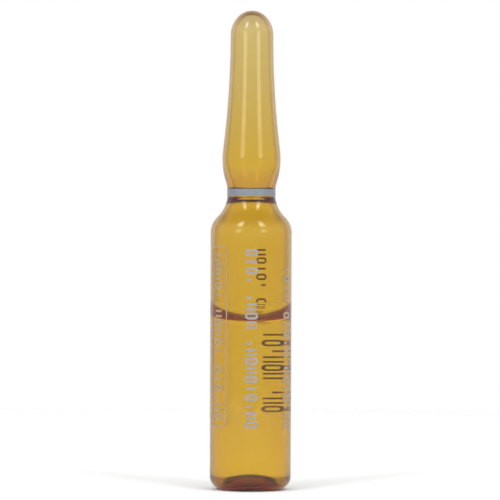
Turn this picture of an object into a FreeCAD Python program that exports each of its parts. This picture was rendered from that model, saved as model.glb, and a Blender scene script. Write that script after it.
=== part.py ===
"""A sealed 2 ml glass ampoule with its liquid, break ring and printed marks, in millimetres.

The foot stands on z = 0 and the axis is Z. The front, where the centre print is, faces -Y.
"""

import FreeCAD, Part
import math
import os

import Sketcher
from FreeCAD import Rotation, Vector

START, END, CENTRE = 1, 2, 3
ORIGIN = (-1, 1)
RADIAL_AXIS, LONG_AXIS = -1, -2

# Driving dimensions: alias, value in millimetres or degrees, meaning
SIZES = (
    ("body_radius", 5.375, "outside radius of the straight body"),
    ("body_height", 33.8, "foot to the top of the straight body"),
    ("neck_rise", 5.2, "straight body to the waist of the neck"),
    ("neck_radius", 3.15, "outside radius at the waist of the neck"),
    ("bulb_rise", 4.5, "waist of the neck to the widest part of the bulb"),
    ("bulb_swell", 0.7, "how far the bulb stands out past the neck"),
    ("stem_rise", 16.4, "widest part of the bulb to the top of the stem"),
    ("stem_radius", 2.83, "outside radius at the top of the stem"),
    ("shoulder_bend", 3.0, "radius of the rounded shoulder"),
    ("neck_bend", 5.3, "radius of the hollow curve above the waist"),
    ("bulb_bend", 11.0, "radius of the curve above the widest part of the bulb"),
    ("tip_bend", 3.5, "radius where the stem turns into the tip"),
    ("tip_knee", 2.55, "top of the stem to where the tip's dome begins"),
    ("heel_bend", 1.8, "radius of the heel"),
    ("foot_width", 0.2, "width of the ring that the ampoule stands on"),
    ("rim_bend", 1.6, "radius inside the foot, where the base turns upward"),
    ("punt_height", 1.0, "how far the middle of the base is pushed up"),
    ("body_wall", 0.5, "glass in the straight body"),
    ("neck_wall", 0.85, "glass at the waist of the neck"),
    ("bulb_wall", 0.42, "glass at the widest part of the bulb"),
    ("stem_wall", 0.38, "glass at the top of the stem"),
    ("tip_wall", 0.42, "glass at the sealed tip"),
    ("base_wall", 0.9, "glass in the base"),
    ("fill_height", 21.6, "foot to the lowest point of the liquid's surface"),
    ("meniscus_bend", 7.6, "radius of the middle of the liquid's surface"),
    ("meniscus_edge", 3.0, "radius where the surface climbs the wall"),
    ("contact_drop", 0.3, "how far the surface's edge runs below level with its own centre"),
    ("ring_height", 0.92, "height of the enamel ring"),
    ("ring_lift", 0.12, "middle of the ring above the waist of the neck"),
    ("ring_thickness", 0.05, "thickness of the enamel"),
    ("ink_thickness", 0.04, "thickness of the printed ink"),
    ("bold_stroke", 0.32, "width of a stroke of the centre and side prints"),
    ("centre_cap", 1.7, "width of the centre print"),
    ("centre_start", 8.2, "foot to the centre print"),
    ("centre_clear", 2.0, "free height between the centre print and the top of the straight body"),
    ("centre_turn", 0.9, "angle of the centre print round the body"),
    ("side_cap", 1.5, "width of the side print"),
    ("side_start", 8.0, "foot to the side print"),
    ("side_clear", 4.2, "free height between the side print and the top of the straight body"),
    ("side_turn", 60.0, "angle of the side print round the body"),
    ("back_cap", 1.5, "width of the back print"),
    ("back_start", 9.9, "foot to the back print"),
    ("back_clear", 2.0, "free height between the back print and the top of the straight body"),
    ("back_stroke", 0.24, "width of a stroke of the back print"),
    ("back_turn", 163.9, "angle of the back print round the body"),
    ("panel_cap", 1.5, "width of the marks in the framed panel"),
    ("panel_start", 9.2, "foot to the marks in the framed panel"),
    ("panel_clear", 2.64, "free height between those marks and the top of the straight body"),
    ("panel_stroke", 0.28, "width of a stroke of the marks in the framed panel"),
    ("panel_turn", -51.5, "angle of the framed panel round the body"),
    ("frame_width", 3.0, "width of the frame round the panel"),
    ("frame_start", 8.4, "foot to the frame"),
    ("frame_clear", 1.8, "free height between the frame and the top of the straight body"),
    ("frame_corner", 0.7, "radius of the corners of the frame"),
    ("frame_stroke", 0.15, "width of the frame's line"),
)

# How many marks each word of a column has
CENTRE_WORDS = (10, 4, 4)
SIDE_WORDS = (7, 5, 4)
BACK_WORDS = (3, 6, 3, 5)
PANEL_WORDS = (6, 5, 5)
# How much of its place in the column a mark fills
MARK_SHARE = 0.78

document = FreeCAD.newDocument("Ampoule")


class Length:
    """A length as a number, with the formula that ties it to the sheet."""

    def __init__(self, value, formula):
        self.value = value
        self.formula = formula

    def __add__(self, other):
        return Length(self.value + other.value, f"({self.formula} + {other.formula})")

    def __sub__(self, other):
        return Length(self.value - other.value, f"({self.formula} - {other.formula})")

    def __mul__(self, factor):
        return Length(self.value * factor, f"({self.formula} * {factor})")

    def __truediv__(self, number):
        return Length(self.value / number, f"({self.formula} / {number})")

    def over(self, other):
        """The plain ratio of two lengths."""
        return Length(self.value / other.value, f"({self.formula} / {other.formula})")

    def times(self, other):
        return Length(self.value * other.value, f"({self.formula} * {other.formula})")


def make_sheet():
    """The spreadsheet of driving dimensions, and each one as a Length."""
    sheet = document.addObject("Spreadsheet::Sheet", "Sizes")
    lengths = {}
    for row, (alias, value, meaning) in enumerate(SIZES, start=1):
        sheet.set(f"A{row}", alias)
        sheet.set(f"B{row}", str(value))
        sheet.set(f"C{row}", meaning)
        sheet.setAlias(f"B{row}", alias)
        lengths[alias] = Length(value, f"Sizes.{alias}")
    document.recompute()
    return lengths


class Drawing:
    """A sketch on the front plane of its own body, built from joined pieces and dimensions."""

    def __init__(self, body, name):
        self.sketch = body.newObject("Sketcher::SketchObject", name)
        faces = [o for o in body.Origin.OriginFeatures if o.Role == "XZ_Plane"]
        self.sketch.AttachmentSupport = [(faces[0], "")]
        self.sketch.MapMode = "FlatFace"
        self.rules = []
        self.formulas = []

    def line(self, first, last):
        """A line, as (number, its first end, its last end)."""
        edge = Part.LineSegment(Vector(*first, 0), Vector(*last, 0))
        return self.sketch.addGeometry(edge, False), START, END

    def arc(self, centre, first, last, turn_left):
        """An arc from first to last, turning left or right round its centre."""
        radius = math.dist(centre, first)
        ends = (first, last) if turn_left else (last, first)
        angles = [math.atan2(end[1] - centre[1], end[0] - centre[0]) for end in ends]
        circle = Part.Circle(Vector(*centre, 0), Vector(0, 0, 1), radius)
        edge = Part.ArcOfCircle(circle, angles[0], angles[1])
        index = self.sketch.addGeometry(edge, False)
        return (index, START, END) if turn_left else (index, END, START)

    def rule(self, kind, *references):
        self.rules.append(Sketcher.Constraint(kind, *references))

    def size(self, kind, references, length):
        """A dimension that is tied to the sheet."""
        self.formulas.append((len(self.rules), length.formula))
        self.rules.append(Sketcher.Constraint(kind, *references, length.value))

    def join(self, before, after, smooth=False):
        """Joins the last end of one piece to the first end of the next."""
        self.rule("Tangent" if smooth else "Coincident", before[0], before[2], after[0], after[1])

    def level(self, piece, end):
        """The centre of an arc is level with one of its ends, so it is upright there."""
        self.rule("Horizontal", piece[0], CENTRE, piece[0], end)

    def plumb(self, piece, end):
        """The centre of an arc is plumb with one of its ends, so it is level there."""
        self.rule("Vertical", piece[0], CENTRE, piece[0], end)

    def place(self, piece, end, across, up):
        """The position of a point, from the sketch's origin."""
        self.size("DistanceX", (*ORIGIN, piece[0], end), across)
        self.size("DistanceY", (*ORIGIN, piece[0], end), up)

    def close(self):
        """Adds every rule at once and binds the dimensions."""
        first = self.sketch.ConstraintCount
        self.sketch.addConstraint(self.rules)
        for offset, formula in self.formulas:
            self.sketch.setExpression(f"Constraints[{first + offset}]", formula)
        return self.sketch


def bend_sum(narrow, wide, rise):
    """The sum of the two radii of a curve that leaves one upright and meets another, rise higher."""
    step = wide - narrow
    formula = f"(({step.formula})^2 + ({rise.formula})^2) / (2 * {step.formula})"
    return Length((step.value**2 + rise.value**2) / (2 * step.value), f"({formula})")


def swing(drawing, first, last, first_bend, first_inward, upright=True):
    """Two arcs that leave first and reach last along the long axis, or along the other one.

    The bend of the arc at first is given here only to start it, and the inflection follows from both.
    """
    if not upright:
        first, last = first[::-1], last[::-1]
    side = -1 if first_inward else 1
    across, along = abs(last[0] - first[0]), abs(last[1] - first[1])
    last_bend = (across**2 + along**2) / (2 * across) - first_bend
    centres = (
        (first[0] + side * first_bend, first[1]),
        (last[0] - side * last_bend, last[1]),
    )
    share = first_bend / (first_bend + last_bend)
    middle = tuple(a + share * (b - a) for a, b in zip(*centres))
    rising = last[1] > first[1]
    turns = (rising == first_inward, rising != first_inward)
    points = [first, last, middle, *centres]
    if not upright:
        points = [point[::-1] for point in points]
        turns = (not turns[0], not turns[1])
    first, last, middle, *centres = points
    opening = drawing.arc(centres[0], first, middle, turns[0])
    closing = drawing.arc(centres[1], middle, last, turns[1])
    drawing.join(opening, closing, smooth=True)
    return opening, closing


def stations(lengths, inside):
    """The radii and heights of the outside or of the inside of the glass, as Lengths."""
    nothing = Length(0.0, "0")

    def wall(name):
        return lengths[name] if inside else nothing

    body = lengths["body_radius"] - wall("body_wall")
    bulb = lengths["neck_radius"] + lengths["bulb_swell"] - wall("bulb_wall")
    neck_height = lengths["body_height"] + lengths["neck_rise"]
    bulb_height = neck_height + lengths["bulb_rise"]
    stem_height = bulb_height + lengths["stem_rise"]
    tip_bend = lengths["tip_bend"] - wall("stem_wall")
    return {
        "body": (body, lengths["body_height"]),
        "neck": (lengths["neck_radius"] - wall("neck_wall"), neck_height),
        "bulb": (bulb, bulb_height),
        "stem": (
            lengths["stem_radius"] - wall("stem_wall"),
            stem_height - wall("tip_wall") + wall("stem_wall"),
        ),
        "shoulder_bend": lengths["shoulder_bend"] - wall("body_wall"),
        "neck_bend": lengths["neck_bend"] + wall("neck_wall"),
        "bulb_bend": lengths["bulb_bend"] - wall("bulb_wall"),
        "tip_bend": tip_bend,
        "tip_knee": lengths["tip_knee"].times(tip_bend.over(lengths["tip_bend"])),
        "heel_bend": lengths["heel_bend"] - wall("body_wall"),
        "heel_height": lengths["heel_bend"] - wall("body_wall") + wall("base_wall"),
        "foot": wall("base_wall"),
        "foot_width": lengths["foot_width"],
        "foot_radius": lengths["body_radius"] - lengths["heel_bend"],
        "rim_bend": lengths["rim_bend"] - wall("base_wall"),
        "punt": lengths["punt_height"] + wall("base_wall"),
    }


def numbers(pair):
    return pair[0].value, pair[1].value


def draw_top(drawing, at):
    """From the apex down to the top of the straight body: tip, stem, bulb, neck and shoulder."""
    stem, bulb, neck, body = (numbers(at[name]) for name in ("stem", "bulb", "neck", "body"))
    tip_bend, knee = at["tip_bend"].value, at["tip_knee"].value
    offset = stem[0] - tip_bend
    run = math.sqrt(tip_bend**2 - knee**2)
    slope = knee / run
    dome_centre = (0, stem[1] - offset * slope)
    knee_point = (offset + run, stem[1] + knee)
    apex = (0, dome_centre[1] + math.dist(dome_centre, knee_point))
    dome = drawing.arc(dome_centre, apex, knee_point, turn_left=False)
    blend = drawing.arc((offset, stem[1]), knee_point, stem, turn_left=False)
    drawing.join(dome, blend, smooth=True)
    drawing.rule("PointOnObject", dome[0], dome[1], LONG_AXIS)
    drawing.rule("PointOnObject", dome[0], CENTRE, LONG_AXIS)
    drawing.level(blend, blend[2])
    drawing.size("Radius", (blend[0],), at["tip_bend"])
    drawing.size("DistanceY", (blend[0], blend[2], blend[0], blend[1]), at["tip_knee"])

    taper_bend = bend_sum(at["stem"][0], at["bulb"][0], at["stem"][1] - at["bulb"][1])
    flare, crown = swing(
        drawing, stem, bulb, taper_bend.value - at["bulb_bend"].value, first_inward=False
    )
    swell_bend = bend_sum(at["neck"][0], at["bulb"][0], at["bulb"][1] - at["neck"][1])
    swell, hollow = swing(
        drawing, bulb, neck, swell_bend.value - at["neck_bend"].value, first_inward=True
    )
    drop_bend = bend_sum(at["neck"][0], at["body"][0], at["neck"][1] - at["body"][1])
    spread, shoulder = swing(
        drawing, neck, body, drop_bend.value - at["shoulder_bend"].value, first_inward=False
    )
    drawing.join(blend, flare)
    drawing.join(crown, swell)
    drawing.join(hollow, spread)
    for upper, lower in ((flare, crown), (swell, hollow), (spread, shoulder)):
        drawing.level(upper, upper[1])
        drawing.level(lower, lower[2])
    for piece, bend in ((crown, "bulb_bend"), (hollow, "neck_bend"), (shoulder, "shoulder_bend")):
        drawing.size("Radius", (piece[0],), at[bend])
    for piece, station in ((flare, "stem"), (swell, "bulb"), (spread, "neck")):
        drawing.place(piece, piece[1], *at[station])
    drawing.place(shoulder, shoulder[2], *at["body"])
    return dome, shoulder


def draw_base(drawing, at):
    """From the bottom of the straight wall to the axis: heel, foot, rim and punt."""
    wall, foot_radius = at["body"][0].value, at["foot_radius"].value
    foot, heel_height = at["foot"].value, at["heel_height"].value
    rim = (foot_radius - at["foot_width"].value, foot)
    heel = drawing.arc((foot_radius, heel_height), (wall, heel_height), (foot_radius, foot), False)
    flat = drawing.line((foot_radius, foot), rim)
    rise, dome = swing(
        drawing, rim, (0, at["punt"].value), at["rim_bend"].value, first_inward=False, upright=False
    )
    drawing.join(heel, flat)
    drawing.join(flat, rise)
    drawing.level(heel, heel[1])
    drawing.plumb(heel, heel[2])
    drawing.size("Radius", (heel[0],), at["heel_bend"])
    drawing.rule("Horizontal", flat[0])
    drawing.size("DistanceX", (rise[0], rise[1], heel[0], heel[2]), at["foot_width"])
    if at["foot"].value:
        drawing.size("DistanceY", (*ORIGIN, heel[0], heel[2]), at["foot"])
    else:
        drawing.rule("PointOnObject", heel[0], heel[2], RADIAL_AXIS)
    drawing.plumb(rise, rise[1])
    drawing.size("Radius", (rise[0],), at["rim_bend"])
    drawing.rule("PointOnObject", dome[0], CENTRE, LONG_AXIS)
    drawing.rule("PointOnObject", dome[0], dome[2], LONG_AXIS)
    drawing.size("DistanceY", (*ORIGIN, dome[0], dome[2]), at["punt"])
    return heel, dome


def point_of(drawing, piece, end):
    point = drawing.sketch.getPoint(piece[0], end)
    return point.x, point.y


def close_half(drawing, top_first, top_last, heel, punt):
    """The straight wall and the line on the axis that close half of a section."""
    wall = drawing.line(
        point_of(drawing, top_last, top_last[2]), point_of(drawing, heel, heel[1])
    )
    axis = drawing.line(
        point_of(drawing, punt, punt[2]), point_of(drawing, top_first, top_first[1])
    )
    drawing.join(top_last, wall)
    drawing.join(wall, heel)
    drawing.join(punt, axis)
    drawing.join(axis, top_first)
    drawing.rule("Vertical", wall[0])
    return drawing.close()


def turn(body, kind, name, sketch):
    """A full turn of a half section round the sketch's upright axis."""
    feature = body.newObject(f"PartDesign::{kind}", name)
    feature.Profile = sketch
    feature.ReferenceAxis = (sketch, ["V_Axis"])
    feature.Angle = 360
    body.Tip = feature
    return feature


def new_body(label):
    body = document.addObject("PartDesign::Body", label)
    body.Label = label
    return body


def make_glass(lengths):
    """The glass: its outside turned as a solid, with the sealed hollow turned out of it."""
    body = new_body("glass_ampoule")
    outline = Drawing(body, "GlassOutline")
    outside = stations(lengths, inside=False)
    profile = close_half(outline, *draw_top(outline, outside), *draw_base(outline, outside))
    turn(body, "Revolution", "BlownShape", profile)
    document.recompute()
    full_volume = body.Shape.Volume
    bore = Drawing(body, "HollowOutline")
    hollow = stations(lengths, inside=True)
    profile = close_half(bore, *draw_top(bore, hollow), *draw_base(bore, hollow))
    turn(body, "Groove", "SealedHollow", profile)
    document.recompute()
    if body.Shape.Volume >= full_volume:
        raise RuntimeError("the hollow took no glass away")
    return body


def draw_surface(drawing, lengths, at):
    """The liquid's surface from the axis to the wall: a shallow bowl and a curve up the wall."""
    bowl_bend, edge_bend = lengths["meniscus_bend"], lengths["meniscus_edge"]
    drop = lengths["contact_drop"]
    lowest, wall = lengths["fill_height"].value, at["body"][0].value
    reach = math.sqrt(edge_bend.value**2 - drop.value**2)
    edge_x = wall - reach
    bowl_centre = (0, lowest + bowl_bend.value)
    spread = bowl_bend.value - edge_bend.value
    edge_centre = (edge_x, bowl_centre[1] - math.sqrt(spread**2 - edge_x**2))
    share = bowl_bend.value / spread
    touch = tuple(b + share * (e - b) for b, e in zip(bowl_centre, edge_centre))
    contact = (wall, edge_centre[1] - drop.value)
    bowl = drawing.arc(bowl_centre, (0, lowest), touch, turn_left=True)
    edge = drawing.arc(edge_centre, touch, contact, turn_left=True)
    drawing.join(bowl, edge, smooth=True)
    drawing.rule("PointOnObject", bowl[0], bowl[1], LONG_AXIS)
    drawing.rule("PointOnObject", bowl[0], CENTRE, LONG_AXIS)
    drawing.size("DistanceY", (*ORIGIN, bowl[0], bowl[1]), lengths["fill_height"])
    drawing.size("Radius", (bowl[0],), bowl_bend)
    drawing.size("Radius", (edge[0],), edge_bend)
    drawing.size("DistanceY", (edge[0], edge[2], edge[0], CENTRE), drop)
    drawing.size("DistanceX", (*ORIGIN, edge[0], edge[2]), at["body"][0])
    return bowl, edge


def make_liquid(lengths):
    """The liquid: it fills the hollow's base and body up to its own curved surface."""
    body = new_body("liquid_fill")
    drawing = Drawing(body, "LiquidOutline")
    hollow = stations(lengths, inside=True)
    bowl, edge = draw_surface(drawing, lengths, hollow)
    profile = close_half(drawing, bowl, edge, *draw_base(drawing, hollow))
    turn(body, "Revolution", "LiquidShape", profile)
    return body


def make_ring(lengths):
    """The enamel ring: straight outside, and inside on both curves that meet at the waist."""
    body = new_body("break_ring")
    drawing = Drawing(body, "RingOutline")
    at = stations(lengths, inside=False)
    waist, height = at["neck"]
    face = waist + lengths["ring_thickness"]
    upper = lengths["ring_height"] * 0.5 + lengths["ring_lift"]
    lower = lengths["ring_height"] * 0.5 - lengths["ring_lift"]
    lower_bend = bend_sum(waist, at["body"][0], lengths["neck_rise"]) - at["shoulder_bend"]

    def hollow(bend, rise):
        """The centre of a curve of the waist, and the point of it at a height above the waist."""
        centre = (waist.value + bend.value, height.value)
        return centre, (centre[0] - math.sqrt(bend.value**2 - rise**2), centre[1] + rise)

    middle = numbers(at["neck"])
    centre, top = hollow(at["neck_bend"], upper.value)
    above = drawing.arc(centre, top, middle, turn_left=True)
    centre, foot = hollow(lower_bend, -lower.value)
    below = drawing.arc(centre, middle, foot, turn_left=True)
    floor = drawing.line(foot, (face.value, foot[1]))
    front = drawing.line((face.value, foot[1]), (face.value, top[1]))
    roof = drawing.line((face.value, top[1]), top)
    chain = (above, below, floor, front, roof, above)
    for before, after in zip(chain, chain[1:]):
        drawing.join(before, after)
    drawing.level(above, above[2])
    drawing.level(below, below[1])
    drawing.size("Radius", (above[0],), at["neck_bend"])
    drawing.size("Radius", (below[0],), lower_bend)
    drawing.place(above, above[2], waist, height)
    drawing.rule("Horizontal", floor[0])
    drawing.rule("Vertical", front[0])
    drawing.rule("Horizontal", roof[0])
    drawing.size("DistanceX", (*ORIGIN, front[0], START), face)
    drawing.size("DistanceY", (above[0], above[2], roof[0], START), upper)
    drawing.size("DistanceY", (floor[0], END, above[0], above[2]), lower)
    turn(body, "Revolution", "RingShape", drawing.close())
    return body


def draw_block(drawing, left, bottom, width, height):
    """A rectangle whose lower left corner and sides are tied to the sheet."""
    x, y = left.value, bottom.value
    corners = ((x, y), (x + width.value, y), (x + width.value, y + height.value), (x, y + height.value))
    sides = [drawing.line(corners[k], corners[(k + 1) % 4]) for k in range(4)]
    for k, side in enumerate(sides):
        drawing.join(side, sides[(k + 1) % 4])
        drawing.rule("Vertical" if k % 2 else "Horizontal", side[0])
    drawing.place(sides[0], START, left, bottom)
    drawing.size("DistanceX", (sides[0][0], START, sides[0][0], END), width)
    drawing.size("DistanceY", (sides[1][0], START, sides[1][0], END), height)


def draw_ring(drawing, middle, cap, stroke, width):
    """A square ring: a rectangle inside a rectangle."""
    draw_block(drawing, cap * -0.5, middle - width * 0.5, cap, width)
    inner_cap, inner_width = cap - stroke * 2, width - stroke * 2
    draw_block(drawing, inner_cap * -0.5, middle - inner_width * 0.5, inner_cap, inner_width)


def draw_bar(drawing, middle, cap, stroke, width):
    """One stroke across the column."""
    draw_block(drawing, cap * -0.5, middle - stroke * 0.5, cap, stroke)


def draw_pair(drawing, middle, cap, stroke, width):
    """Two strokes across the column, as far apart as a ring's sides."""
    draw_block(drawing, cap * -0.5, middle - width * 0.5, cap, stroke)
    draw_block(drawing, cap * -0.5, middle + width * 0.5 - stroke, cap, stroke)


def draw_tick(drawing, middle, cap, stroke, width):
    """A stroke across half of the column."""
    draw_block(drawing, cap * -0.5, middle - stroke * 0.5, cap * 0.5, stroke)


def stamp(body, drawing, lengths):
    """Pushes a drawing forward, out through the front of the glass."""
    pad = body.newObject("PartDesign::Pad", f"{drawing.sketch.Name}_pad")
    pad.Profile = drawing.close()
    pad.setExpression("Length", (lengths["body_radius"] * 2).formula)
    body.Tip = pad


def stamp_column(body, lengths, prefix, words, stroke):
    """Words of simple marks, one above the other, with one free place between two words."""
    cap, first, clear = (lengths[f"{prefix}_{name}"] for name in ("cap", "start", "clear"))
    places = sum(words) + len(words) - 1
    pitch = (lengths["body_height"] - first - clear) / places
    width = pitch * MARK_SHARE
    marks = (draw_ring, draw_bar, draw_pair, draw_ring, draw_tick, draw_pair, draw_ring)
    place = 0
    for word, count in enumerate(words):
        for number in range(count):
            drawing = Drawing(body, f"{prefix}_{place}")
            draw = marks[(place + number + word) % len(marks)]
            draw(drawing, first + pitch * (place + 0.5), cap, stroke, width)
            stamp(body, drawing, lengths)
            place += 1
        place += 1


def make_skin(lengths):
    """A tube of ink on the whole straight body, from which each print keeps its own shape."""
    tubes = []
    for name, radius in (
        ("SkinOutside", lengths["body_radius"] + lengths["ink_thickness"]),
        ("SkinInside", lengths["body_radius"]),
    ):
        tube = document.addObject("Part::Cylinder", name)
        tube.setExpression("Radius", radius.formula)
        tube.setExpression("Height", lengths["body_height"].formula)
        tubes.append(tube)
    skin = document.addObject("Part::Cut", "InkSkin")
    skin.Base, skin.Tool = tubes
    return skin


def print_on(skin, lengths, label, prefix, body):
    """The part of the skin that lies behind the stamped shapes, turned to its place on the body."""
    common = document.addObject("Part::Common", label)
    common.Label = label
    common.Base, common.Tool = body, skin
    angle = lengths[f"{prefix}_turn"]
    turned = Rotation(Vector(0, 0, 1), angle.value)
    common.Placement = FreeCAD.Placement(Vector(0, 0, 0), turned)
    common.setExpression("Placement.Rotation.Angle", f"{angle.formula} * 1 deg")
    return common


def make_column(skin, lengths, label, prefix, words, stroke):
    """A printed column of marks."""
    body = new_body(f"{label}_shapes")
    stamp_column(body, lengths, prefix, words, stroke)
    return print_on(skin, lengths, label, prefix, body)


def draw_rounded(drawing, width, bottom, height, corner):
    """An upright rectangle with round corners, centred on the column's own line."""
    half, low, high = width.value / 2, bottom.value, bottom.value + height.value
    r = corner.value
    spots = ((half - r, low + r), (half - r, high - r), (-half + r, high - r), (-half + r, low + r))
    outward = ((0, -1), (1, 0), (0, 1), (-1, 0))
    arcs, sides = [], []
    for k, (x, y) in enumerate(spots):
        before, after = outward[k], outward[(k + 1) % 4]
        first = (x + r * before[0], y + r * before[1])
        last = (x + r * after[0], y + r * after[1])
        arcs.append(drawing.arc((x, y), first, last, True))
    for k in range(4):
        this, following = arcs[k], arcs[(k + 1) % 4]
        ends = point_of(drawing, this, this[2]), point_of(drawing, following, following[1])
        sides.append(drawing.line(*ends))
        drawing.join(this, sides[k], smooth=True)
    for k in range(4):
        drawing.join(sides[k], arcs[(k + 1) % 4], smooth=True)
        drawing.rule("Horizontal" if k % 2 else "Vertical", sides[k][0])
    for k in range(1, 4):
        drawing.rule("Equal", arcs[0][0], arcs[k][0])
    drawing.size("Radius", (arcs[0][0],), corner)
    drawing.size("DistanceX", (*ORIGIN, sides[0][0], START), width * 0.5)
    drawing.size("DistanceX", (sides[2][0], START, *ORIGIN), width * 0.5)
    drawing.size("DistanceY", (*ORIGIN, sides[3][0], START), bottom)
    drawing.size("DistanceY", (*ORIGIN, sides[1][0], START), bottom + height)


def make_panel(skin, lengths):
    """The framed panel: a thin round-cornered frame with a column of marks in it."""
    label = "left_print"
    body = new_body(f"{label}_shapes")
    frame = Drawing(body, f"{label}_frame")
    line, width, bottom, clear, corner = (
        lengths[f"frame_{name}"] for name in ("stroke", "width", "start", "clear", "corner")
    )
    height = lengths["body_height"] - bottom - clear
    draw_rounded(frame, width, bottom, height, corner)
    draw_rounded(frame, width - line * 2, bottom + line, height - line * 2, corner - line)
    stamp(body, frame, lengths)
    stamp_column(body, lengths, "panel", PANEL_WORDS, lengths["panel_stroke"])
    return print_on(skin, lengths, label, "panel", body)


def check(pieces):
    """Stops if an object failed, or if a piece isn't a valid solid."""
    for item in document.Objects:
        if "Invalid" in item.State or "Error" in item.State:
            raise RuntimeError(f"{item.Name} failed: {item.State}")
    for piece in pieces:
        if piece.Shape.isNull() or not piece.Shape.isValid() or not piece.Shape.Solids:
            raise RuntimeError(f"{piece.Label} is not a valid solid")


def main():
    lengths = make_sheet()
    pieces = [make_glass(lengths), make_liquid(lengths), make_ring(lengths)]
    skin = make_skin(lengths)
    pieces += [
        make_panel(skin, lengths),
        make_column(skin, lengths, "centre_print", "centre", CENTRE_WORDS, lengths["bold_stroke"]),
        make_column(skin, lengths, "right_print", "side", SIDE_WORDS, lengths["bold_stroke"]),
        make_column(skin, lengths, "back_print", "back", BACK_WORDS, lengths["back_stroke"]),
    ]
    document.recompute()
    check(pieces)
    os.makedirs("parts", exist_ok=True)
    for piece in pieces:
        piece.Shape.exportStep(f"parts/{piece.Label}.step")
        box = piece.Shape.BoundBox
        print(piece.Label, len(piece.Shape.Solids), round(piece.Shape.Volume, 3), box)


main()
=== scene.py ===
"""The looks of a sealed amber glass ampoule: fine glass and liquid, ring, print, light and camera.

Lengths in the tables are millimetres. The scene is in metres, with the foot on z = 0 and the front at -Y.
"""

import math

import bpy
from mathutils import Euler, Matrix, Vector


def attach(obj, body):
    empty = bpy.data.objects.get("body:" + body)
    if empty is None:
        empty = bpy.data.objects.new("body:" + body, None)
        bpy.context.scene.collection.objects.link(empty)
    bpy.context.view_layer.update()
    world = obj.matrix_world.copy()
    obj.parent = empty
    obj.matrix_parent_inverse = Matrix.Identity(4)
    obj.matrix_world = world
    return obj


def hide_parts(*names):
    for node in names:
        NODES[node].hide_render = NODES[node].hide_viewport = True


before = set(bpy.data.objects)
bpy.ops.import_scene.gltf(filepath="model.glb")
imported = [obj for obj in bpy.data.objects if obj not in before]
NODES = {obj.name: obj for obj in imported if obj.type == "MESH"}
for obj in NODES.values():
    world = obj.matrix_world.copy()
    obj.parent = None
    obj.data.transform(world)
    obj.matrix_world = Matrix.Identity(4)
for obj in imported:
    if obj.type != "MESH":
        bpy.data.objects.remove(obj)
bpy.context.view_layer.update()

MM = 0.001

# The outside of the glass, as in the part's sheet
BODY_RADIUS, BODY_HEIGHT = 5.375, 33.8
NECK_RADIUS, NECK_HEIGHT = 3.15, 39.0
BULB_RADIUS, BULB_HEIGHT = 3.85, 43.5
STEM_RADIUS, STEM_HEIGHT = 2.83, 59.9
SHOULDER_BEND, NECK_BEND, BULB_BEND = 3.0, 5.3, 11.0
TIP_BEND, TIP_KNEE = 3.5, 2.55
HEEL_BEND, FOOT_WIDTH, RIM_BEND, PUNT_HEIGHT = 1.8, 0.2, 1.6, 1.0
# The thickness of the glass
BODY_WALL, NECK_WALL, BULB_WALL, STEM_WALL, TIP_WALL, BASE_WALL = 0.5, 0.85, 0.42, 0.38, 0.42, 0.9
# The throat of the hollow, as (radius, height), the bend below it, and its lean where it meets the shoulder
THROAT, THROAT_BEND, THROAT_LEAN = (2.3, 38.5), 0.2, math.radians(22.0)
# How far the hollow's floor rises from its edge to its middle
FLOOR_RISE = 1.2
# The liquid's surface
FILL_HEIGHT, BOWL_BEND, EDGE_BEND, CONTACT_DROP = 21.6, 7.6, 3.0, 0.3
# How far the liquid reaches into the glass, so that the two meet without a gap of air
WET_OVERLAP = 0.01
# The print: width, foot to the print, free height above it, angle round the body, stroke, and the marks
# in each of its words
COLUMNS = {
    "left_print": (1.5, 9.2, 2.64, -51.5, 0.28, (6, 5, 5)),
    "centre_print": (1.7, 8.2, 2.0, 0.9, 0.32, (10, 4, 4)),
    "right_print": (1.5, 8.0, 4.2, 60.0, 0.32, (7, 5, 4)),
    "back_print": (1.5, 9.9, 2.0, 163.9, 0.24, (3, 6, 3, 5)),
}
MARK_SHARE = 0.78
FRAME_WIDTH, FRAME_START, FRAME_CLEAR, FRAME_CORNER, FRAME_STROKE = 3.0, 8.4, 1.8, 0.7, 0.15
INK_THICKNESS, INK_HOLD = 0.04, 0.01
# How finely a bar and the frame's line follow the round of the body, and how round a ring's corners are
BAR_STEPS, LINE_GAP, RING_ROUND = 8, 0.6, 0.95

ARC_STEP = math.radians(3.0)
SEGMENTS = 224


def arc(centre, first, last, steps=None):
    """Points on the shorter arc from first to last, without first."""
    start = math.atan2(first[1] - centre[1], first[0] - centre[0])
    stop = math.atan2(last[1] - centre[1], last[0] - centre[0])
    sweep = (stop - start + math.pi) % math.tau - math.pi
    radius = math.dist(centre, first)
    count = steps or max(6, math.ceil(abs(sweep) / ARC_STEP))
    points = []
    for k in range(1, count + 1):
        angle = start + sweep * k / count
        points.append((centre[0] + radius * math.cos(angle), centre[1] + radius * math.sin(angle)))
    return points


def swing(first, last, first_bend, first_inward):
    """Two arcs that leave first and reach last along the axis, as points."""
    side = -1 if first_inward else 1
    across, along = abs(last[0] - first[0]), abs(last[1] - first[1])
    last_bend = (across**2 + along**2) / (2 * across) - first_bend
    centres = (first[0] + side * first_bend, first[1]), (last[0] - side * last_bend, last[1])
    share = first_bend / (first_bend + last_bend)
    middle = tuple(a + share * (b - a) for a, b in zip(*centres))
    return arc(centres[0], first, middle) + arc(centres[1], middle, last)


def bend_sum(narrow, wide, rise):
    """What the two bends of a swing come to between two radii that are so far apart in height."""
    return ((wide - narrow) ** 2 + rise**2) / (2 * (wide - narrow))


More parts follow.
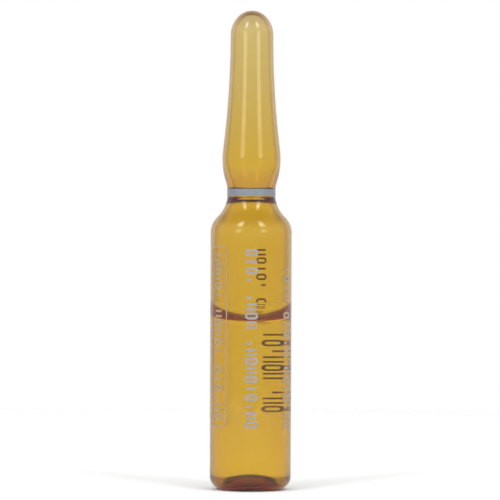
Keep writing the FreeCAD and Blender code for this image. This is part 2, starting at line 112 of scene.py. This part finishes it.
def flare(waist, reach, shoulder, body):
    """The hollow from its throat to the body, with glass of even thickness along the shoulder."""
    level = (math.cos(THROAT_LEAN), math.sin(THROAT_LEAN))
    last = tuple(a - reach * b for a, b in zip(waist, level))
    first = (THROAT[0] + THROAT_BEND, THROAT[1])
    away = (last[0] - first[0], last[1] - first[1])
    along = away[0] * level[0] + away[1] * level[1]
    bend = (away[0] ** 2 + away[1] ** 2 - THROAT_BEND**2) / (2 * (along + THROAT_BEND))
    second = tuple(a - bend * b for a, b in zip(last, level))
    share = THROAT_BEND / (THROAT_BEND + bend)
    middle = tuple(a + share * (b - a) for a, b in zip(first, second))
    share = reach / math.dist(waist, shoulder)
    turn = tuple(a + share * (b - a) for a, b in zip(waist, shoulder))
    points = arc(first, THROAT, middle, 12) + arc(second, middle, last, 16)
    return points + arc(waist, last, turn, 12) + arc(shoulder, turn, body, 20)


def top_outline(inside):
    """From the apex down to the top of the straight body."""
    wall = 1 if inside else 0
    tip_bend = TIP_BEND - STEM_WALL * wall
    knee = TIP_KNEE * tip_bend / TIP_BEND
    stem = (STEM_RADIUS - STEM_WALL * wall, STEM_HEIGHT - (TIP_WALL - STEM_WALL) * wall)
    bulb = (BULB_RADIUS - BULB_WALL * wall, BULB_HEIGHT)
    neck = THROAT if inside else (NECK_RADIUS, NECK_HEIGHT)
    body = (BODY_RADIUS - BODY_WALL * wall, BODY_HEIGHT)
    bulb_bend = BULB_BEND - BULB_WALL * wall
    neck_bend = NECK_BEND + NECK_WALL * wall
    waist_bend = bend_sum(NECK_RADIUS, BODY_RADIUS, NECK_HEIGHT - BODY_HEIGHT) - SHOULDER_BEND
    offset = stem[0] - tip_bend
    run = math.sqrt(tip_bend**2 - knee**2)
    dome = (0, stem[1] - offset * knee / run)
    knee_point = (offset + run, stem[1] + knee)
    apex = (0, dome[1] + math.dist(dome, knee_point))
    points = [apex] + arc(dome, apex, knee_point, 20) + arc((offset, stem[1]), knee_point, stem, 20)
    taper = bend_sum(stem[0], bulb[0], stem[1] - bulb[1]) - bulb_bend
    points += swing(stem, bulb, taper, False)
    swell = bend_sum(neck[0], bulb[0], bulb[1] - neck[1]) - neck_bend
    points += swing(bulb, neck, swell, True)
    if not inside:
        return points + swing(neck, body, waist_bend, False)
    waist = (NECK_RADIUS + waist_bend, NECK_HEIGHT)
    shoulder = (BODY_RADIUS - SHOULDER_BEND, BODY_HEIGHT)
    return points + flare(waist, waist_bend + BODY_WALL, shoulder, body)


def base_outline(wall, floor, rise):
    """From the bottom of the straight wall to the axis, for an inset of the wall, the floor and its rise."""
    foot_radius = BODY_RADIUS - HEEL_BEND
    heel_bend = HEEL_BEND - wall
    rim = (foot_radius - FOOT_WIDTH, floor)
    apex = (0, rise + floor)
    low = (foot_radius, floor)
    centre = (foot_radius, floor + heel_bend)
    points = [(BODY_RADIUS - wall, centre[1])]
    points += arc(centre, points[0], low) + [rim]
    rim_bend = RIM_BEND - floor
    dome_bend = (rim[0] ** 2 + rise**2) / (2 * rise) - rim_bend
    centres = (rim[0], floor + rim_bend), (0, apex[1] - dome_bend)
    share = rim_bend / (rim_bend + dome_bend)
    middle = tuple(a + share * (b - a) for a, b in zip(*centres))
    points += arc(centres[0], rim, middle, 10) + arc(centres[1], middle, apex, 14)
    return points


def surface_outline(wall):
    """The liquid's surface from the axis to the wall."""
    reach = math.sqrt(EDGE_BEND**2 - CONTACT_DROP**2)
    edge_x = wall - reach
    bowl = (0, FILL_HEIGHT + BOWL_BEND)
    spread = BOWL_BEND - EDGE_BEND
    edge = (edge_x, bowl[1] - math.sqrt(spread**2 - edge_x**2))
    share = BOWL_BEND / spread
    touch = tuple(b + share * (e - b) for b, e in zip(bowl, edge))
    contact = (wall, edge[1] - CONTACT_DROP)
    return [(0, FILL_HEIGHT)] + arc(bowl, (0, FILL_HEIGHT), touch, 24) + arc(edge, touch, contact, 24)


def straight(first, last, margin=0.15, spacing=3.0):
    """Points between two ends of a straight wall: one close to each end, and even ones between them."""
    length = math.dist(first, last)
    steps = max(1, round((length - 2 * margin) / spacing))
    shares = [margin / length + (1 - 2 * margin / length) * k / steps for k in range(steps + 1)]
    return [tuple(a + share * (b - a) for a, b in zip(first, last)) for share in shares]


def joined(top, base):
    """A top and a base with the straight wall between them."""
    return top + straight(top[-1], base[0]) + base


SHARP_EDGE = math.radians(30)


def turned(name, outlines, segments=SEGMENTS):
    """A closed mesh of revolution. Each outline runs from the axis to the axis, or is a closed loop."""
    vertices, faces = [], []
    for outline, outward in outlines:
        rings = []
        for radius, height in outline:
            if abs(radius) < 1e-9:
                rings.append([len(vertices)])
                vertices.append((0, 0, height * MM))
                continue
            ring = []
            for k in range(segments):
                angle = math.tau * k / segments
                ring.append(len(vertices))
                vertices.append((radius * math.cos(angle) * MM, radius * math.sin(angle) * MM, height * MM))
            rings.append(ring)
        pairs = list(zip(rings, rings[1:]))
        if len(rings[0]) > 1:
            pairs.append((rings[-1], rings[0]))
        for upper, lower in pairs:
            for k in range(segments):
                n = (k + 1) % segments
                if len(upper) == 1:
                    face = (upper[0], lower[k], lower[n])
                elif len(lower) == 1:
                    face = (upper[k], lower[0], upper[n])
                else:
                    face = (upper[k], lower[k], lower[n], upper[n])
                faces.append(face if outward else face[::-1])
    mesh = bpy.data.meshes.new(name)
    mesh.from_pydata(vertices, [], faces)
    mesh.polygons.foreach_set("use_smooth", [True] * len(mesh.polygons))
    mesh.set_sharp_from_angle(angle=SHARP_EDGE)
    mesh.update()
    piece = bpy.data.objects.new(name, mesh)
    bpy.context.scene.collection.objects.link(piece)
    return piece


def rounded_box(width, height, corner, steps=8):
    """A closed path round a rectangle with round corners, as (across, up) from its middle."""
    points = []
    for k, (x, y) in enumerate(((1, 1), (-1, 1), (-1, -1), (1, -1))):
        middle = (x * (width / 2 - corner), y * (height / 2 - corner))
        for step in range(steps + 1):
            angle = math.pi / 2 * (k + step / steps)
            points.append((middle[0] + corner * math.cos(angle), middle[1] + corner * math.sin(angle)))
    return points


def spaced(points, gap):
    """The same closed path with no two points further apart than the gap."""
    fine = []
    for (x0, y0), (x1, y1) in zip(points, points[1:] + points[:1]):
        count = max(1, math.ceil(math.dist((x0, y0), (x1, y1)) / gap))
        fine += [(x0 + (x1 - x0) * k / count, y0 + (y1 - y0) * k / count) for k in range(count)]
    return fine


def mark_paths(kind, cap, stroke, width):
    """The strokes of one mark, as (points, closed): a ring, a pair of bars, a bar or half of one."""
    half, reach = cap / 2 - stroke / 2, width / 2 - stroke / 2
    if kind == "ring":
        return [(rounded_box(2 * half, 2 * reach, min(half, reach) * RING_ROUND), True)]
    heights = (-reach, reach) if kind == "pair" else (0.0,)
    last = 0.0 if kind == "tick" else half
    line = [-half + (last + half) * k / BAR_STEPS for k in range(BAR_STEPS + 1)]
    return [([(x, height) for x in line], False) for height in heights]


def column_paths(name):
    """The strokes of a whole column, as (points, closed, stroke)."""
    cap, start, clear, _, stroke, words = COLUMNS[name]
    pitch = (BODY_HEIGHT - start - clear) / (sum(words) + len(words) - 1)
    kinds = ("ring", "bar", "pair", "ring", "tick", "pair", "ring")
    paths, place = [], 0
    for word, count in enumerate(words):
        for number in range(count):
            height = start + pitch * (place + 0.5)
            kind = kinds[(place + number + word) % len(kinds)]
            for points, closed in mark_paths(kind, cap, stroke, pitch * MARK_SHARE):
                paths.append(([(x, y + height) for x, y in points], closed, stroke))
            place += 1
        place += 1
    return paths


def frame_paths():
    """The line round the left panel."""
    height = BODY_HEIGHT - FRAME_START - FRAME_CLEAR
    middle = FRAME_START + height / 2
    line = rounded_box(FRAME_WIDTH - FRAME_STROKE, height - FRAME_STROKE, FRAME_CORNER - FRAME_STROKE / 2)
    return [([(x, y + middle) for x, y in spaced(line, LINE_GAP)], True, FRAME_STROKE)]


def inked(name, paths, turn):
    """Strokes of ink on the body, turned by an angle from the front and sunk a little into the glass."""
    vertices, faces = [], []
    turn = math.radians(turn)
    levels = BODY_RADIUS - INK_HOLD, BODY_RADIUS + INK_THICKNESS

    def placed(x, y, radius):
        angle = turn + math.asin(x / BODY_RADIUS)
        return radius * math.sin(angle) * MM, -radius * math.cos(angle) * MM, y * MM

    for points, closed, stroke in paths:
        count, start = len(points), len(vertices)
        for k, (x, y) in enumerate(points):
            before = points[k - 1] if closed or k else points[k]
            after = points[(k + 1) % count] if closed or k < count - 1 else points[k]
            along = Vector((after[0] - before[0], after[1] - before[1])).normalized()
            side = Vector((-along.y, along.x)) * stroke / 2
            for sign in (-1, 1):
                for radius in levels:
                    vertices.append(placed(x + sign * side.x, y + sign * side.y, radius))
        for k in range(count if closed else count - 1):
            a, b = start + 4 * k, start + 4 * ((k + 1) % count)
            faces += [(a + 1, b + 1, b + 3, a + 3), (a, a + 2, b + 2, b)]
            faces += [(a, b, b + 1, a + 1), (a + 2, a + 3, b + 3, b + 2)]
        if not closed:
            a, b = start, start + 4 * (count - 1)
            faces += [(a, a + 1, a + 3, a + 2), (b, b + 2, b + 3, b + 1)]
    mesh = bpy.data.meshes.new(name)
    mesh.from_pydata(vertices, [], faces)
    mesh.polygons.foreach_set("use_smooth", [True] * len(mesh.polygons))
    mesh.set_sharp_from_angle(angle=SHARP_EDGE)
    mesh.update()
    piece = bpy.data.objects.new(name, mesh)
    bpy.context.scene.collection.objects.link(piece)
    return piece


class Material:
    """A principled material with small helpers for its nodes."""

    def __init__(self, name):
        self.material = bpy.data.materials.new(name)
        self.material.use_nodes = True
        self.tree = self.material.node_tree
        self.shader = self.tree.nodes["Principled BSDF"]

    def node(self, kind, **values):
        node = self.tree.nodes.new(kind)
        for key, value in values.items():
            setattr(node, key, value)
        return node

    def link(self, source, target):
        self.tree.links.new(source, target)

    def value(self, name, value):
        self.shader.inputs[name].default_value = value

    def coordinate(self):
        return self.node("ShaderNodeTexCoord").outputs["Object"]

    def height(self):
        """The height above the foot, in millimetres."""
        parts = self.node("ShaderNodeSeparateXYZ")
        self.link(self.coordinate(), parts.inputs[0])
        scaled = self.node("ShaderNodeMath", operation="MULTIPLY")
        self.link(parts.outputs["Z"], scaled.inputs[0])
        scaled.inputs[1].default_value = 1000.0
        return scaled.outputs[0]

    def radius(self):
        """The distance from the axis, in millimetres."""
        flat = self.node("ShaderNodeVectorMath", operation="MULTIPLY")
        self.link(self.coordinate(), flat.inputs[0])
        flat.inputs[1].default_value = (1000.0, 1000.0, 0.0)
        length = self.node("ShaderNodeVectorMath", operation="LENGTH")
        self.link(flat.outputs[0], length.inputs[0])
        return length.outputs["Value"]

    def noise(self, per_mm, detail=3.0, stretch=(1.0, 1.0, 1.0)):
        place = self.node("ShaderNodeMapping")
        place.inputs["Scale"].default_value = stretch
        self.link(self.coordinate(), place.inputs["Vector"])
        noise = self.node("ShaderNodeTexNoise")
        noise.inputs["Scale"].default_value = per_mm * 1000.0
        noise.inputs["Detail"].default_value = detail
        self.link(place.outputs[0], noise.inputs["Vector"])
        return noise.outputs["Fac"]

    def ramp(self, factor, stops, low=0.0, high=1.0):
        """Colours by stops of (value, colour), for values from low to high."""
        scaled = self.node("ShaderNodeMapRange")
        scaled.inputs["From Min"].default_value = low
        scaled.inputs["From Max"].default_value = high
        self.link(factor, scaled.inputs["Value"])
        ramp = self.node("ShaderNodeValToRGB")
        elements = ramp.color_ramp.elements
        while len(elements) < len(stops):
            elements.new(0.5)
        for element, (value, colour) in zip(elements, stops):
            element.position = (value - low) / (high - low)
            element.color = (*colour, 1.0)
        self.link(scaled.outputs[0], ramp.inputs["Fac"])
        return ramp.outputs["Color"]

    def mix(self, factor, first, second, blend="MIX"):
        mix = self.node("ShaderNodeMix", data_type="RGBA", blend_type=blend)
        for socket, value in ((mix.inputs[0], factor), (mix.inputs[6], first), (mix.inputs[7], second)):
            if isinstance(value, bpy.types.NodeSocket):
                self.link(value, socket)
            else:
                socket.default_value = value if isinstance(value, float) else (*value, 1.0)
        return mix.outputs[2]

    def colour(self, source):
        self.link(source, self.shader.inputs["Base Color"])

    def painted_glow_when_trapped(self, colour, strength, turns):
        """A painted dim glow: emission that stands in for light that has been turned back inside the glass
        time after time.
        """
        path = self.node("ShaderNodeLightPath")
        scaled = self.node("ShaderNodeMapRange")
        scaled.inputs["From Min"].default_value, scaled.inputs["From Max"].default_value = turns
        scaled.inputs["To Max"].default_value = strength
        self.link(path.outputs["Glossy Depth"], scaled.inputs["Value"])
        self.link(scaled.outputs[0], self.shader.inputs["Emission Strength"])
        self.value("Emission Color", (*colour, 1.0))

    def absorb(self, colour, per_mm):
        """The colour that the light takes on in the depth of the material."""
        depth = self.node("ShaderNodeVolumeAbsorption")
        depth.inputs["Color"].default_value = (*colour, 1.0)
        depth.inputs["Density"].default_value = per_mm / MM
        self.link(depth.outputs[0], self.tree.nodes["Material Output"].inputs["Volume"])

    def bump(self, source, distance_mm, strength=1.0):
        bump = self.node("ShaderNodeBump")
        bump.inputs["Distance"].default_value = distance_mm * MM
        bump.inputs["Strength"].default_value = strength
        self.link(source, bump.inputs["Height"])
        self.link(bump.outputs[0], self.shader.inputs["Normal"])


# The colour of the amber at its surface by height, from the body over the waist, bulb and stem to the tip
AMBER_STOPS = (
    (4.0, (0.875, 0.765, 0.105)),
    (9.0, (0.865, 0.755, 0.102)),
    (12.0, (0.884, 0.781, 0.112)),
    (32.0, (0.884, 0.781, 0.112)),
    (36.0, (0.910, 0.828, 0.310)),
    (42.0, (0.880, 0.780, 0.130)),
    (47.0, (0.862, 0.785, 0.300)),
    (53.0, (0.860, 0.806, 0.430)),
    (60.0, (0.865, 0.838, 0.540)),
    (63.0, (0.920, 0.930, 0.850)),
)
AMBER_TOP = 64.0
BLACK, WHITE = (0.0, 0.0, 0.0), (1.0, 1.0, 1.0)
# The base has its own colour inside a radius and under a height
BASE_TINT, BASE_RADII, BASE_HEIGHTS, BASE_REACH = (1.0, 0.9, 0.3), (3.9, 4.5), (1.6, 2.4), 6.0
# Painted shade on the rims: where the wall is seen edge on it is made darker and greyer, standing in for the
# dimmer room it reflects there and partly for the longer path through the glass; and the slants between
# which it sets in
EDGE_SHADE_TINT, EDGE_SLANTS = (0.38, 0.36, 0.20), (0.45, 0.7)
# What the depth of the glass lets through and how strongly it takes the rest
DEPTH_COLOUR, DEPTH_PER_MM = (0.764, 0.5, 0.091), 1.1
# Painted glow: emission that stands for light that keeps being turned back inside the glass: after so many
# turns it is a dim red
PAINTED_TRAPPED_GLOW, TRAPPED_STRENGTH, TRAPPED_TURNS = (1.0, 0.12, 0.05), 0.18, (1.5, 2.5)


def amber_glass():
    """Amber that is deep in the thick body and pales up the drawn stem to the tip."""
    made = Material("AmberGlass")
    tint = made.ramp(made.height(), AMBER_STOPS, 0.0, AMBER_TOP)
    near = made.ramp(made.radius(), tuple(zip(BASE_RADII, (WHITE, BLACK))), 0.0, BASE_REACH)
    low = made.ramp(made.height(), tuple(zip(BASE_HEIGHTS, (WHITE, BLACK))), 0.0, BASE_REACH)
    tint = made.mix(made.mix(1.0, near, low, "MULTIPLY"), tint, BASE_TINT)
    # Painted shade: darker, greyer glass where the wall is seen edge on
    slant = made.node("ShaderNodeLayerWeight").outputs["Facing"]
    tint = made.mix(made.ramp(slant, tuple(zip(EDGE_SLANTS, (BLACK, WHITE)))), tint, EDGE_SHADE_TINT)
    cloud = made.ramp(made.noise(0.16, 2.0, (1.0, 1.0, 0.35)), ((0.3, (0.985, 0.985, 0.97)), (0.7, WHITE)))
    made.colour(made.mix(1.0, tint, cloud, "MULTIPLY"))
    made.value("Transmission Weight", 1.0)
    made.value("Roughness", 0.0)
    made.value("IOR", 1.5)
    made.absorb(DEPTH_COLOUR, DEPTH_PER_MM)
    made.painted_glow_when_trapped(PAINTED_TRAPPED_GLOW, TRAPPED_STRENGTH, TRAPPED_TURNS)
    return made.material


def clear_liquid():
    """Water-like, with the faintest unevenness."""
    made = Material("ClearLiquid")
    haze = made.ramp(made.noise(0.25, 2.0), ((0.3, (0.992, 0.994, 0.99)), (0.7, WHITE)))
    made.colour(haze)
    made.value("Transmission Weight", 1.0)
    made.value("Roughness", 0.0)
    made.value("IOR", 1.33)
    return made.material


def printed(name, base, worn, roughness):
    """Screen-printed ink: slightly uneven in colour, with a dry, faintly grained surface."""
    made = Material(name)
    patches = made.ramp(made.noise(1.6, 4.0), ((0.35, base), (0.75, worn)))
    grain = made.ramp(made.noise(9.0, 2.0), ((0.3, (0.93, 0.93, 0.93)), (0.7, WHITE)))
    made.colour(made.mix(1.0, patches, grain, "MULTIPLY"))
    made.value("Roughness", roughness)
    made.value("Specular IOR Level", 0.3)
    made.bump(made.noise(12.0, 2.0), 0.01, 0.4)
    return made.material


def srgb(red, green, blue):
    """The linear colour of an sRGB one in 0 to 255."""
    def linear(value):
        value /= 255.0
        return value / 12.92 if value <= 0.04045 else ((value + 0.055) / 1.055) ** 2.4
    return linear(red), linear(green), linear(blue)


def keep(piece, material, node):
    """Hands a finished piece over in the place of a node of the part."""
    piece.data.materials.append(material)
    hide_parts(node)
    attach(piece, "root")


def make_glass():
    """The hollow shell of glass."""
    outside = joined(top_outline(False), base_outline(0.0, 0.0, PUNT_HEIGHT))
    inside = joined(top_outline(True), base_outline(BODY_WALL, BASE_WALL, FLOOR_RISE))
    piece = turned("ampoule_glass", ((outside, True), (inside, False)))
    keep(piece, amber_glass(), "glass_ampoule")


def make_liquid():
    """The liquid, which reaches a hair's breadth into the glass."""
    wall = BODY_WALL - WET_OVERLAP
    base = base_outline(wall, BASE_WALL - WET_OVERLAP, FLOOR_RISE)
    outline = joined(surface_outline(BODY_RADIUS - wall), base)
    piece = turned("ampoule_liquid", ((outline, True),))
    keep(piece, clear_liquid(), "liquid_fill")


def make_print():
    """The four columns of plain marks, and the frame round the left one."""
    pale = printed("PaleInk", srgb(172, 154, 130), srgb(162, 144, 120), 0.6)
    grey = printed("GreyInk", srgb(160, 152, 150), srgb(148, 140, 138), 0.6)
    brown = printed("BrownInk", srgb(205, 92, 20), srgb(180, 78, 16), 0.6)
    for node, slot, material in (
        ("left_print", "pale_ink", pale),
        ("centre_print", "grey_ink", grey),
        ("right_print", "pale_ink", pale),
        ("back_print", "brown_ink", brown),
    ):
        paths = column_paths(node) + (frame_paths() if node == "left_print" else [])
        keep(inked(f"{node}_marks", paths, COLUMNS[node][3]), material, node)


def dress_ring():
    """The part's own ring, in fired enamel."""
    ring = NODES["break_ring"]
    ring.data.materials.clear()
    ring.data.materials.append(printed("RingEnamel", srgb(136, 141, 151), srgb(124, 129, 138), 0.35))


# The floor is wider than the ampoule's shadow, and beyond it the backdrop is as white as the floor
FLOOR_HALF = 0.2


def make_floor():
    """A pale floor that takes the shadow."""
    half = FLOOR_HALF
    mesh = bpy.data.meshes.new("Floor")
    corners = [(-half, -half, 0), (half, -half, 0), (half, half, 0), (-half, half, 0)]
    mesh.from_pydata(corners, [], [(0, 1, 2, 3)])
    floor = bpy.data.objects.new("Floor", mesh)
    bpy.context.scene.collection.objects.link(floor)
    made = Material("FloorPaper")
    made.colour(made.ramp(made.noise(0.02, 3.0), ((0.3, (0.93, 0.93, 0.93)), (0.7, (0.95, 0.95, 0.95)))))
    made.value("Roughness", 0.9)
    made.value("Specular IOR Level", 0.0)
    mesh.materials.append(made.material)


# The room, by the sine of the height: white round the horizon and dark overhead
WORLD_STOPS = ((0.35, WHITE), (0.95, (0.14, 0.05, 0.05)))
# Two soft boxes of light left and right of the front, each with a dim low pane and a bright high one: their
# levels by the sine of the height, their angles and their strength
BOX_LEVELS = (
    (0.02, 0.0),
    (0.06, 0.3),
    (0.22, 0.33),
    (0.3, 0.06),
    (0.46, 0.06),
    (0.58, 0.7),
    (0.74, 0.9),
    (0.84, 0.3),
    (0.92, 0.0),
)
BOX_AZIMUTH, BOX_INNER, BOX_OUTER, BOX_STRENGTH = 37.0, 3.0, 14.0, 7.0
# The even light of the room on what isn't seen through glass
ROOM_STRENGTH = 0.1


def make_world():
    """The room and its soft boxes for what is seen in and through glass, and even light for the rest."""
    world = bpy.data.worlds.new("Studio")
    bpy.context.scene.world = world
    world.use_nodes = True
    tree = world.node_tree
    nodes, links = tree.nodes, tree.links
    nodes.clear()
    output = nodes.new("ShaderNodeOutputWorld")
    seen, lit = nodes.new("ShaderNodeBackground"), nodes.new("ShaderNodeBackground")
    choose = nodes.new("ShaderNodeMixShader")
    path = nodes.new("ShaderNodeLightPath")
    add_glossy, add_clear = nodes.new("ShaderNodeMath"), nodes.new("ShaderNodeMath")
    for node in (add_glossy, add_clear):
        node.operation = "MAXIMUM"
    links.new(path.outputs["Is Camera Ray"], add_glossy.inputs[0])
    links.new(path.outputs["Is Glossy Ray"], add_glossy.inputs[1])
    links.new(add_glossy.outputs[0], add_clear.inputs[0])
    links.new(path.outputs["Is Transmission Ray"], add_clear.inputs[1])

    def calc(operation, first, second=0.0):
        node = nodes.new("ShaderNodeMath")
        node.operation = operation
        for socket, value in zip(node.inputs, (first, second)):
            if isinstance(value, float):
                socket.default_value = value
            else:
                links.new(value, socket)
        return node.outputs[0]

    def ramp(factor, stops):
        node = nodes.new("ShaderNodeValToRGB")
        elements = node.color_ramp.elements
        while len(elements) < len(stops):
            elements.new(0.5)
        for element, (value, colour) in zip(elements, stops):
            element.position, element.color = value, (*colour, 1.0)
        links.new(factor, node.inputs["Fac"])
        return node.outputs["Color"]

    parts = nodes.new("ShaderNodeSeparateXYZ")
    links.new(nodes.new("ShaderNodeTexCoord").outputs["Generated"], parts.inputs[0])
    room = ramp(parts.outputs["Z"], WORLD_STOPS)
    forward = calc("MULTIPLY", parts.outputs["Y"], -1.0)
    azimuth = calc("ABSOLUTE", calc("ARCTAN2", parts.outputs["X"], forward))
    off_centre = calc("ABSOLUTE", calc("SUBTRACT", azimuth, math.radians(BOX_AZIMUTH)))
    across = nodes.new("ShaderNodeMapRange")
    across.interpolation_type = "SMOOTHSTEP"
    across.inputs["From Min"].default_value = math.radians(BOX_OUTER)
    across.inputs["From Max"].default_value = math.radians(BOX_INNER)
    links.new(off_centre, across.inputs["Value"])
    up = ramp(parts.outputs["Z"], [(value, (level,) * 3) for value, level in BOX_LEVELS])
    glow = calc("MULTIPLY", calc("MULTIPLY", across.outputs[0], up), BOX_STRENGTH)
    both = nodes.new("ShaderNodeMix")
    both.data_type, both.blend_type = "RGBA", "ADD"
    both.inputs[0].default_value = 1.0
    links.new(room, both.inputs[6])
    links.new(glow, both.inputs[7])
    links.new(both.outputs[2], seen.inputs["Color"])
    seen.inputs["Strength"].default_value = 1.0
    lit.inputs["Color"].default_value = (*WHITE, 1.0)
    lit.inputs["Strength"].default_value = ROOM_STRENGTH
    links.new(add_clear.outputs[0], choose.inputs[0])
    links.new(lit.outputs[0], choose.inputs[1])
    links.new(seen.outputs[0], choose.inputs[2])
    links.new(choose.outputs[0], output.inputs["Surface"])


LAMP_DISTANCE, LAMP_AZIMUTH, LAMP_ELEVATION = 0.6, 37.0, 26.0
LAMP_WIDTH, LAMP_HEIGHT, LAMP_POWER = 0.2, 0.34, 1.5
OVERHEAD_HEIGHT, OVERHEAD_SIZE, OVERHEAD_POWER = 0.9, 2.4, 20.2
AIM = Vector((0, 0, 0.035))


def make_lamps():
    """Two tall soft lamps, left and right of the front, and a wide one overhead."""
    for name, side in (("LampLeft", -1), ("LampRight", 1)):
        light = bpy.data.lights.new(name, "AREA")
        light.shape = "RECTANGLE"
        light.size, light.size_y = LAMP_WIDTH, LAMP_HEIGHT
        light.energy = LAMP_POWER
        lamp = bpy.data.objects.new(name, light)
        turn, rise = math.radians(LAMP_AZIMUTH) * side, math.radians(LAMP_ELEVATION)
        level = math.cos(rise)
        direction = Vector((math.sin(turn) * level, -math.cos(turn) * level, math.sin(rise)))
        lamp.location = AIM + direction * LAMP_DISTANCE
        lamp.rotation_euler = direction.to_track_quat("Z", "Y").to_euler()
        lamp.visible_camera = lamp.visible_glossy = lamp.visible_transmission = False
        bpy.context.scene.collection.objects.link(lamp)
    light = bpy.data.lights.new("Overhead", "AREA")
    light.size = OVERHEAD_SIZE
    light.energy = OVERHEAD_POWER
    lamp = bpy.data.objects.new("Overhead", light)
    lamp.location = (0, 0, OVERHEAD_HEIGHT)
    lamp.visible_camera = lamp.visible_glossy = lamp.visible_transmission = False
    bpy.context.scene.collection.objects.link(lamp)


# The view: the width of the picture at the ampoule, and where the ampoule stands in it
CAMERA_DISTANCE, CAMERA_HEIGHT, CAMERA_ACROSS = 0.4, 0.03155, -0.00015
VIEW_WIDTH, SENSOR, CAMERA_ROLL = 0.06596, 36.0, -0.24


def make_camera():
    camera = bpy.data.cameras.new("Camera")
    camera.sensor_width = SENSOR
    camera.lens = SENSOR * CAMERA_DISTANCE / VIEW_WIDTH
    camera.clip_start, camera.clip_end = 0.01, 20.0
    viewer = bpy.data.objects.new("Camera", camera)
    viewer.location = (CAMERA_ACROSS, -CAMERA_DISTANCE, CAMERA_HEIGHT)
    viewer.rotation_euler = Euler((math.radians(90), math.radians(CAMERA_ROLL), 0))
    bpy.context.scene.collection.objects.link(viewer)
    bpy.context.scene.camera = viewer


make_glass()
make_liquid()
make_print()
dress_ring()
make_floor()
make_world()
make_lamps()
make_camera()
bpy.context.scene.view_settings.view_transform = "Standard"
